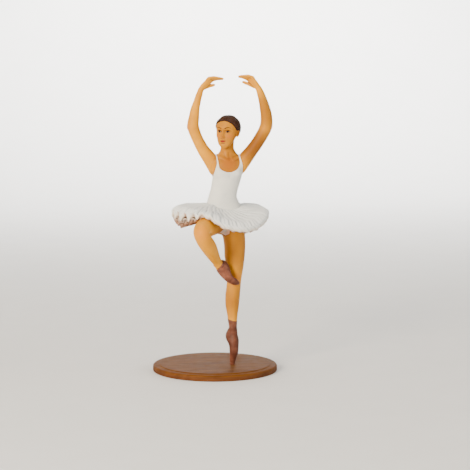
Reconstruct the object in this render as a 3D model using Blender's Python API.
"""Toy ballerina on pointe: a moulded plastic figure, and the round base that it stands on.

The figure faces -Y. The origin is the middle of the base's underside. The figure's pose,
proportions and carving are written in hundredths of FIGURE_HEIGHT, measured from the middle of
the base's top face. Left and right are the dancer's own.
"""

import math

import bmesh
import bpy
from mathutils import Matrix, Vector

# Driving dimensions, in metres
FIGURE_HEIGHT = 0.1160  # toe tip to the highest fingertip
BASE_DIAMETER = 0.0500
BASE_THICKNESS = 0.0027
BASE_EDGE_RADIUS = 0.0008
BASE_RIM_WIDTH = 0.0024  # the band outside the base's raised middle
BASE_RISE = 0.0003  # how far the middle stands above that band
SEAT_GAP = 0.0003  # clearance between the toe and the base

# Fineness of the faceted forms
HUNDREDTH = FIGURE_HEIGHT / 100
VOXEL = FIGURE_HEIGHT / 350
SHARE_OF_FACES_KEPT = 0.05
LOFT_SIDES = 20
PLEATS = 54
BASE_SIDES = 64
EDGE_STEPS = 3

# Sections of the body in hundredths: x, y, z, half width, half depth
TORSO = (
    (3.4, -1.0, 45.8, 3.6, 3.8),
    (3.4, -0.7, 48.1, 6.6, 4.8),
    (3.1, -0.7, 51.5, 6.5, 4.9),
    (2.6, -1.0, 55.4, 5.6, 4.0),
    (2.6, -1.3, 57.8, 4.9, 3.5),
    (2.9, -1.3, 59.9, 4.5, 3.3),
    (3.3, -1.4, 62.0, 4.6, 3.4),
    (3.7, -1.7, 64.1, 4.8, 3.8),
    (3.9, -1.9, 66.1, 5.2, 4.0),
    (4.0, -1.7, 68.2, 5.6, 3.7),
    (4.2, -1.3, 70.2, 5.4, 3.1),
    (4.2, -1.1, 71.9, 4.3, 2.7),
    (4.2, -1.1, 73.3, 2.9, 2.4),
    (4.1, -1.3, 74.7, 2.3, 2.2),
    (4.2, -1.7, 77.1, 2.2, 2.2),
    (4.2, -2.0, 79.9, 2.2, 2.3),
)
STANDING_LEG = (
    (5.5, -1.4, 49.1, 4.0, 4.2),
    (6.1, -2.2, 45.5, 3.9, 4.1),
    (6.4, -2.8, 41.7, 3.7, 3.9),
    (6.3, -3.2, 37.6, 3.5, 3.6),
    (6.2, -3.6, 33.5, 3.0, 3.1),
    (6.0, -3.8, 29.7, 2.5, 2.7),
    (5.8, -3.6, 26.8, 2.45, 2.6),
    (5.6, -3.1, 23.6, 2.5, 2.8),
    (5.5, -3.0, 20.5, 2.35, 2.5),
    (5.5, -3.3, 17.0, 1.8, 1.9),
    (5.6, -3.5, 13.6, 1.35, 1.5),
    (5.6, -3.6, 11.0, 1.3, 1.45),
)
RAISED_LEG = (
    (0.6, -1.0, 49.9, 4.0, 4.1),
    (-2.0, -5.7, 49.4, 3.9, 4.0),
    (-5.0, -11.2, 49.0, 3.5, 3.6),
    (-7.3, -15.4, 48.7, 3.0, 3.0),
    (-8.0, -17.3, 47.6, 2.8, 2.8),
    (-6.9, -16.6, 45.1, 2.7, 2.8),
    (-4.9, -14.3, 42.4, 2.6, 2.8),
    (-3.0, -11.7, 39.4, 2.1, 2.2),
    (-1.4, -9.6, 37.0, 1.6, 1.7),
    (-0.3, -8.6, 35.4, 1.5, 1.6),
)
RIGHT_ARM = (
    (0.2, 0.0, 67.2, 1.9, 2.3),
    (-1.3, 0.0, 70.4, 2.5, 2.5),
    (-3.9, -0.3, 74.0, 1.95, 2.1),
    (-6.1, -0.8, 77.9, 1.75, 1.9),
    (-7.7, -1.0, 82.2, 2.0, 2.0),
    (-7.5, -1.4, 85.5, 1.8, 1.8),
    (-7.1, -1.9, 88.6, 1.5, 1.5),
    (-6.4, -2.6, 91.7, 1.2, 1.2),
    (-5.6, -3.2, 94.6, 1.05, 1.1),
)
LEFT_ARM = (
    (8.4, -1.6, 67.8, 1.9, 2.3),
    (9.9, -2.2, 70.6, 2.5, 2.5),
    (11.9, -3.4, 73.6, 2.25, 2.2),
    (14.0, -4.7, 76.9, 2.1, 2.1),
    (16.5, -6.0, 81.9, 2.1, 2.1),
    (16.7, -6.4, 85.8, 2.1, 2.0),
    (16.0, -6.7, 89.1, 1.85, 1.75),
    (15.0, -7.0, 92.4, 1.5, 1.4),
    (13.8, -7.1, 95.6, 1.15, 1.15),
)

# Each foot in hundredths: way along the foot, offset towards the heel, half length, half width
STANDING_FOOT = (
    (-0.6, 0.0, 1.45, 1.3),
    (0.7, 0.25, 1.9, 1.4),
    (2.0, 0.4, 2.2, 1.5),
    (3.6, -0.2, 1.95, 1.6),
    (5.3, -0.5, 1.55, 1.6),
    (7.3, -0.5, 1.4, 1.5),
    (9.2, -0.25, 1.15, 1.2),
    (10.7, -0.05, 0.95, 0.95),
    (12.0, 0.0, 0.85, 0.85),
)
RAISED_FOOT = (
    (-0.8, 0.0, 1.6, 1.45),
    (1.3, 0.25, 2.5, 1.5),
    (3.4, -0.6, 2.0, 1.6),
    (5.9, -1.2, 1.25, 1.5),
    (8.1, -0.7, 1.0, 1.3),
    (9.2, -0.25, 0.55, 0.8),
)
STANDING_ANKLE = (5.6, -3.6, 11.6)
STANDING_TOE = (5.35, -3.8, 0.0)
TURNOUT = math.radians(50)  # the standing foot points this far to the dancer's left
RAISED_ANKLE = (-0.3, -8.4, 35.4)
RAISED_TOE = (6.2, -8.3, 29.3)
RAISED_HEEL_SIDE = (0.58, 0.52, 0.63)

# The head: height, half width, reach forwards, reach backwards of each section
HEAD_AXIS = (4.05, -1.9)
HEAD_TURN = math.radians(-34)
HEAD = (
    (75.3, 1.1, 3.7, -2.2),
    (76.1, 2.0, 4.1, -0.6),
    (77.4, 2.8, 4.15, 0.8),
    (79.0, 3.35, 4.1, 2.8),
    (80.7, 3.7, 3.85, 4.2),
    (82.3, 3.75, 4.15, 4.7),
    (83.8, 3.4, 3.5, 4.3),
    (84.8, 2.3, 2.2, 3.0),
)
HEAD_DOME = 0.25  # how far the head's end sections bulge, against a round end
HAIR = (0.15, -0.75, 81.8, 4.25, 4.15, 4.25)  # across, forwards, up, then the three half sizes
BUN = (0.0, -5.8, 81.9, 1.8, 1.5, 1.8)

# The hands: wrist, knuckles, middle fingertip and thumb tip in hundredths
RIGHT_HAND = ((-5.8, -3.2, 94.9), (-2.4, -4.6, 98.6), (1.6, -5.8, 99.0), (-0.8, -3.2, 96.6))
LEFT_HAND = ((13.9, -7.1, 95.4), (10.9, -7.2, 98.9), (7.2, -6.8, 99.8), (8.8, -5.2, 97.6))
PALM_ACROSS = (0.0, 0.65, -0.76)  # from the little finger's side to the thumb's
PALM_HALF_WIDTH = 1.6
PALM_HALF_THICKNESS = 0.8
FINGER_RADIUS = 0.42
FINGER_LENGTHS = (0.76, 0.93, 1.0, 0.9)  # little finger first, as shares of the middle one

# The skirt: angle from +X, then the heights of its crest and of its rim's two edges
TUTU_MIDDLE = (1.95, -0.4)
TUTU_RADIUS = 16.4
WAIST_MIDDLE = (2.5, -1.1)
WAIST_HALF_SIZES = (4.4, 3.0)
WAIST_HEIGHTS = ((0, 54.8), (90, 55.2), (180, 56.0), (225, 55.7), (248, 54.7), (273, 54.3), (300, 54.2))
CREST = 0.78  # the crest's place between the waist, 0, and the rim, 1
TUTU_RIM = (
    (-24, 53.4, 52.4, 49.6),
    (-7, 53.9, 53.0, 50.2),
    (23, 54.6, 53.3, 50.6),
    (48, 54.2, 53.0, 50.6),
    (78, 53.9, 52.6, 50.5),
    (108, 54.1, 52.8, 50.6),
    (138, 54.7, 53.3, 50.4),
    (168, 54.8, 53.6, 49.9),
    (185, 55.0, 53.8, 49.3),
    (198, 55.1, 53.6, 48.3),
    (212, 55.1, 53.6, 49.3),
    (225, 55.0, 53.8, 50.9),
    (236, 54.9, 54.2, 52.5),
    (245, 54.4, 53.6, 51.7),
    (252, 53.5, 52.2, 50.3),
    (263, 52.1, 50.6, 48.6),
    (276, 51.3, 49.6, 47.6),
    (292, 50.9, 49.1, 47.0),
    (308, 51.4, 49.8, 47.5),
    (322, 52.4, 51.1, 48.5),
)
PLEAT_DEPTH = 0.3
FRILL_REACHES = (1.0, 0.96, 0.99, 0.95, 0.975, 0.93)  # outer edges and the gaps between them
UNDERSIDE = 50.6  # where the skirt's lower face meets the body


def hundredths(x, y, z):
    """A point of the figure, given in hundredths of its height, in metres."""
    return Vector((x, y, z)) * HUNDREDTH + Vector((0, 0, BASE_THICKNESS + SEAT_GAP))


def curved(rows, steps):
    """Rows of numbers with steps more between each two, on a curve through all of them."""
    found = []
    last = len(rows) - 1
    for index in range(last):
        before, start, end, after = (
            rows[max(0, min(last, index + offset))] for offset in (-1, 0, 1, 2)
        )
        for step in range(steps):
            t = step / steps
            found.append(
                tuple(
                    0.5
                    * (
                        2 * b
                        + (c - a) * t
                        + (2 * a - 5 * b + 4 * c - d) * t * t
                        + (3 * b - a - 3 * c + d) * t**3
                    )
                    for a, b, c, d in zip(before, start, end, after)
                )
            )
    return found + [tuple(rows[-1])]


def around(table, angle):
    """A closed table of angle and values read at an angle in degrees, eased between its rows."""
    first = table[0][0]
    angle = first + (angle - first) % 360
    rows = list(table) + [(first + 360, *table[0][1:])]
    for start, end in zip(rows, rows[1:]):
        if angle <= end[0]:
            t = (angle - start[0]) / (end[0] - start[0])
            ease = t * t * (3 - 2 * t)
            return [a + (b - a) * ease for a, b in zip(start[1:], end[1:])]
    return list(rows[-1][1:])


def skin_rings(bm, rings):
    """Faces between closed rings of points, with a flat face over each end."""
    loops = [[bm.verts.new(point) for point in ring] for ring in rings]
    count = len(loops[0])
    for lower, upper in zip(loops, loops[1:]):
        for side in range(count):
            following = (side + 1) % count
            bm.faces.new((lower[side], lower[following], upper[following], upper[side]))
    bm.faces.new(list(reversed(loops[0])))
    bm.faces.new(loops[-1])


def loft(bm, middles, wides, deeps, dome=1.0):
    """A tube through its middles, each section an ellipse with these two half axes. Its ends
    bulge by dome, which is 1 for round ones."""
    rings = []
    last = len(middles) - 1
    capped = [(0, -0.8, 0.6), (0, -0.5, 0.87)]
    capped += [(index, 0, 1) for index in range(last + 1)]
    capped += [(last, 0.5, 0.87), (last, 0.8, 0.6)]
    for index, beyond, size in capped:
        along = (middles[min(last, index + 1)] - middles[max(0, index - 1)]).normalized()
        wide, deep = wides[index], deeps[index]
        middle = middles[index] + along * beyond * dome * min(wide.length, deep.length)
        ring = []
        for side in range(LOFT_SIDES):
            turn = 2 * math.pi * side / LOFT_SIDES
            across = wide * math.cos(turn) + deep * math.sin(turn)
            across -= along * across.dot(along)
            ring.append(middle + across * size)
        rings.append(ring)
    if (rings[0][1] - middles[0]).cross(rings[0][2] - middles[0]).dot(middles[1] - middles[0]) < 0:
        rings = [list(reversed(ring)) for ring in rings]
    skin_rings(bm, rings)


def limb(bm, sections, wide_way):
    """A limb or the torso through its sections, their half widths lying along wide_way."""
    rows = curved(sections, 3)
    middles = [hundredths(*row[:3]) for row in rows]
    wides, deeps = [], []
    last = len(rows) - 1
    for index, row in enumerate(rows):
        along = (middles[min(last, index + 1)] - middles[max(0, index - 1)]).normalized()
        wide = Vector(wide_way)
        wide = (wide - along * wide.dot(along)).normalized()
        wides.append(wide * row[3] * HUNDREDTH)
        deeps.append(along.cross(wide) * row[4] * HUNDREDTH)
    loft(bm, middles, wides, deeps)


def foot(bm, sections, ankle, toe, heel_side):
    """A pointed foot in its slipper, from the ankle to the toe."""
    start, end = hundredths(*ankle), hundredths(*toe)
    along = (end - start).normalized()
    heel = Vector(heel_side)
    heel = (heel - along * heel.dot(along)).normalized()
    side = along.cross(heel)
    rows = curved(sections, 3)
    middles = [start + (along * row[0] + heel * row[1]) * HUNDREDTH for row in rows]
    loft(
        bm,
        middles,
        [heel * row[2] * HUNDREDTH for row in rows],
        [side * row[3] * HUNDREDTH for row in rows],
    )


def ball(bm, middle, half_sizes, turn=0.0):
    """An ellipsoid with its middle and half sizes in hundredths, turned about Z."""
    matrix = (
        Matrix.Translation(hundredths(*middle))
        @ Matrix.Rotation(turn, 4, "Z")
        @ Matrix.Diagonal((*(size * HUNDREDTH for size in half_sizes), 1))
    )
    bmesh.ops.create_uvsphere(bm, u_segments=20, v_segments=12, radius=1, matrix=matrix)


def on_head(across, forwards, height):
    """A point of the head in hundredths: to its left, towards its face, and up."""
    x = HEAD_AXIS[0] + across * math.cos(HEAD_TURN) + forwards * math.sin(HEAD_TURN)
    y = HEAD_AXIS[1] + across * math.sin(HEAD_TURN) - forwards * math.cos(HEAD_TURN)
    return x, y, height


def head_ball(bm, across, forwards, height, half_across, half_deep, half_high):
    """An ellipsoid placed and turned with the head."""
    middle = on_head(across, forwards, height)
    ball(bm, middle, (half_across, half_deep, half_high), HEAD_TURN)


def add_head(bm):
    """The skull and jaw with nose, lips, chin and ears, and the smooth hair with its bun."""
    wide_way = Vector((math.cos(HEAD_TURN), math.sin(HEAD_TURN), 0)) * HUNDREDTH
    face_way = Vector((math.sin(HEAD_TURN), -math.cos(HEAD_TURN), 0)) * HUNDREDTH
    rows = curved(HEAD, 3)
    loft(
        bm,
        [hundredths(*on_head(0, (row[2] - row[3]) / 2, row[0])) for row in rows],
        [wide_way * row[1] for row in rows],
        [face_way * (row[2] + row[3]) / 2 for row in rows],
        HEAD_DOME,
    )
    head_ball(bm, *HAIR)
    head_ball(bm, *BUN)
    head_ball(bm, 0, 3.95, 80.3, 0.4, 0.5, 1.4)
    head_ball(bm, 0, 4.2, 79.1, 0.6, 0.6, 0.55)
    head_ball(bm, 0, 3.95, 77.5, 0.95, 0.4, 0.42)
    head_ball(bm, 0, 3.5, 76.0, 1.0, 0.8, 0.7)
    for side in (-1, 1):
        head_ball(bm, side * 3.75, -0.3, 79.9, 0.45, 0.8, 1.25)


def add_hand(bm, points):
    """A palm, four fingers held together and a thumb a little apart."""
    wrist, knuckles, tip, thumb = (hundredths(*point) for point in points)
    along = (knuckles - wrist).normalized()
    across = Vector(PALM_ACROSS)
    across = (across - along * across.dot(along)).normalized()
    thick = along.cross(across) * PALM_HALF_THICKNESS * HUNDREDTH
    half = across * PALM_HALF_WIDTH * HUNDREDTH
    loft(
        bm,
        [wrist, wrist.lerp(knuckles, 0.45), knuckles],
        [half * 0.65, half * 0.95, half],
        [thick, thick, thick * 0.8],
    )
    for index, length in enumerate(FINGER_LENGTHS):
        share = (index - 1.5) / 2
        root = knuckles + half * share
        end = root.lerp(tip + half * share * 0.7, length)
        middle = root.lerp(end, 0.5) + Vector((0, 0, 0.25 * HUNDREDTH))
        finger(bm, [root.lerp(wrist, 0.15), root, middle, end])
    thumb_root = wrist.lerp(knuckles, 0.4) + half * 0.7
    finger(bm, [thumb_root, thumb_root.lerp(thumb, 0.5), thumb])


def finger(bm, middles):
    """A finger that tapers a little towards its rounded tip."""
    along = (middles[-1] - middles[0]).normalized()
    side = along.orthogonal().normalized()
    radii = [FINGER_RADIUS * HUNDREDTH * (1.1 - 0.25 * i / len(middles)) for i in range(len(middles))]
    loft(bm, middles, [side * r for r in radii], [along.cross(side) * r for r in radii])


def tutu_point(angle, out, down, reach):
    """A point of the skirt. Out runs from the waist, 0, to the rim, 1; down is 0 on the upper
    face and 1 on the lower one; reach moves the rim in or out."""
    turn = math.radians(angle)
    across = Vector((math.cos(turn), math.sin(turn)))
    waist = Vector(WAIST_MIDDLE) + Vector(a * b for a, b in zip(across, WAIST_HALF_SIZES))
    rim = Vector(TUTU_MIDDLE) + across * TUTU_RADIUS * reach
    crest, upper, lower = around(TUTU_RIM, angle)
    belt = around(WAIST_HEIGHTS, angle)[0]
    if out < CREST:
        share = out / CREST
        top = belt + (crest - belt) * share * share * (3 - 2 * share)
    else:
        share = (out - CREST) / (1 - CREST)
        top = crest + (upper - crest) * share * share
    bottom = UNDERSIDE + (lower - UNDERSIDE) * out
    return Vector((*waist.lerp(rim, out), top + (bottom - top) * down))


def tutu():
    """The skirt: pleats that run out from the waist, and a rim of frills one under another."""
    layers = [(out, 0.0, 1.0, out) for out in (0.0, 0.2, 0.4, 0.6, CREST, 0.9)]
    gaps = len(FRILL_REACHES) - 1
    for index, reach in enumerate(FRILL_REACHES):
        layers.append((1.0, index / gaps, reach, 1.0 if index % 2 == 0 else 0.0))
    layers += [(out, 1.0, 1.0, 0.5 * out) for out in (0.75, 0.45, 0.15)]
    count = 2 * PLEATS
    rings = []
    for out, down, reach, depth in layers:
        ring = []
        for index in range(count):
            wave = depth if index % 2 == 0 else -depth
            point = tutu_point(360 * index / count, out, down, reach + 0.012 * wave)
            ring.append(hundredths(point.x, point.y, point.z + PLEAT_DEPTH * wave))
        rings.append(ring)
    bm = bmesh.new()
    skin_rings(bm, [list(reversed(ring)) for ring in rings])
    return helper("tutu_form", bm)


def helper(name, bm):
    """A closed form that another object is joined to or cut by, and that isn't a piece itself."""
    bmesh.ops.recalc_face_normals(bm, faces=bm.faces[:])
    mesh = bpy.data.meshes.new(name)
    bm.to_mesh(mesh)
    bm.free()
    made = bpy.data.objects.new(name, mesh)
    bpy.context.scene.collection.objects.link(made)
    made.hide_render = True
    made.display_type = "WIRE"
    return made


def floor_cutter():
    """A block whose top face is level with the sole of the standing toe."""
    size = 12 * HUNDREDTH
    x, y, z = hundredths(STANDING_TOE[0], STANDING_TOE[1], 0)
    bm = bmesh.new()
    bmesh.ops.create_cube(bm, size=size, matrix=Matrix.Translation((x, y, z - size / 2)))
    return helper("floor_form", bm)


def material(name, colour, roughness):
    """Painted or plain plastic of one colour."""
    made = bpy.data.materials.new(name)
    made.use_nodes = True
    shader = made.node_tree.nodes["Principled BSDF"]
    shader.inputs["Base Color"].default_value = (*colour, 1)
    shader.inputs["Roughness"].default_value = roughness
    shader.inputs["Metallic"].default_value = 0
    return made


def ballerina():
    """The whole figure as one solid: body shells fused and smoothed, then joined to the skirt."""
    bm = bmesh.new()
    limb(bm, TORSO, (1, 0, 0))
    limb(bm, STANDING_LEG, (1, 0, 0))
    limb(bm, RAISED_LEG, (1, 0, 0))
    limb(bm, RIGHT_ARM, (0, 1, 0))
    limb(bm, LEFT_ARM, (0, 1, 0))
    toe_below = (STANDING_TOE[0], STANDING_TOE[1], -0.6)
    heel_side = (-math.sin(TURNOUT), math.cos(TURNOUT), 0)
    foot(bm, STANDING_FOOT, STANDING_ANKLE, toe_below, heel_side)
    foot(bm, RAISED_FOOT, RAISED_ANKLE, RAISED_TOE, RAISED_HEEL_SIDE)
    for side in (-1, 1):
        ball(bm, (3.9 + side * 2.5, -4.0, 66.4), (2.0, 1.7, 1.9))
        ball(bm, (3.3 + side * 3.0, 1.9, 49.6), (3.2, 3.2, 3.4))
    add_head(bm)
    add_hand(bm, RIGHT_HAND)
    add_hand(bm, LEFT_HAND)
    mesh = bpy.data.meshes.new("ballerina")
    bm.to_mesh(mesh)
    bm.free()
    figure = bpy.data.objects.new("ballerina", mesh)
    bpy.context.scene.collection.objects.link(figure)
    fused = figure.modifiers.new("fuse the shells", "REMESH")
    fused.mode = "VOXEL"
    fused.voxel_size = VOXEL
    eased = figure.modifiers.new("ease the joins", "SMOOTH")
    eased.factor = 0.5
    eased.iterations = 4
    lighter = figure.modifiers.new("keep few faces", "DECIMATE")
    lighter.ratio = SHARE_OF_FACES_KEPT
    skirt = figure.modifiers.new("join the skirt", "BOOLEAN")
    skirt.operation = "UNION"
    skirt.object = tutu()
    sole = figure.modifiers.new("flat toe", "BOOLEAN")
    sole.operation = "DIFFERENCE"
    sole.object = floor_cutter()
    figure.data.materials.append(material("painted_plastic", (0.70, 0.42, 0.21), 0.5))
    return figure


def base():
    """A turned disc with rounded edges, its middle raised a little inside a plain rim."""
    radius, edge = BASE_DIAMETER / 2, BASE_EDGE_RADIUS
    rim_top = BASE_THICKNESS - BASE_RISE
    inner = radius - BASE_RIM_WIDTH
    profile = [(radius - edge / 2, 0.0), (radius, edge / 2)]
    for step in range(EDGE_STEPS + 1):
        turn = math.pi / 2 * step / EDGE_STEPS
        profile.append((radius - edge + edge * math.cos(turn), rim_top - edge + edge * math.sin(turn)))
    profile += [(inner, rim_top), (inner - BASE_RISE, BASE_THICKNESS)]
    rings = []
    for reach, height in profile:
        ring = []
        for side in range(BASE_SIDES):
            turn = 2 * math.pi * side / BASE_SIDES
            ring.append(Vector((reach * math.cos(turn), reach * math.sin(turn), height)))
        rings.append(ring)
    bm = bmesh.new()
    skin_rings(bm, rings)
    bmesh.ops.recalc_face_normals(bm, faces=bm.faces[:])
    mesh = bpy.data.meshes.new("base")
    bm.to_mesh(mesh)
    bm.free()
    mesh.shade_smooth()
    mesh.set_sharp_from_angle(angle=math.radians(35))
    disc = bpy.data.objects.new("base", mesh)
    bpy.context.scene.collection.objects.link(disc)
    disc.data.materials.append(material("base_plastic", (0.33, 0.16, 0.06), 0.4))
    return disc


def main():
    for leftover in list(bpy.data.objects):
        bpy.data.objects.remove(leftover)
    base()
    ballerina()


main()
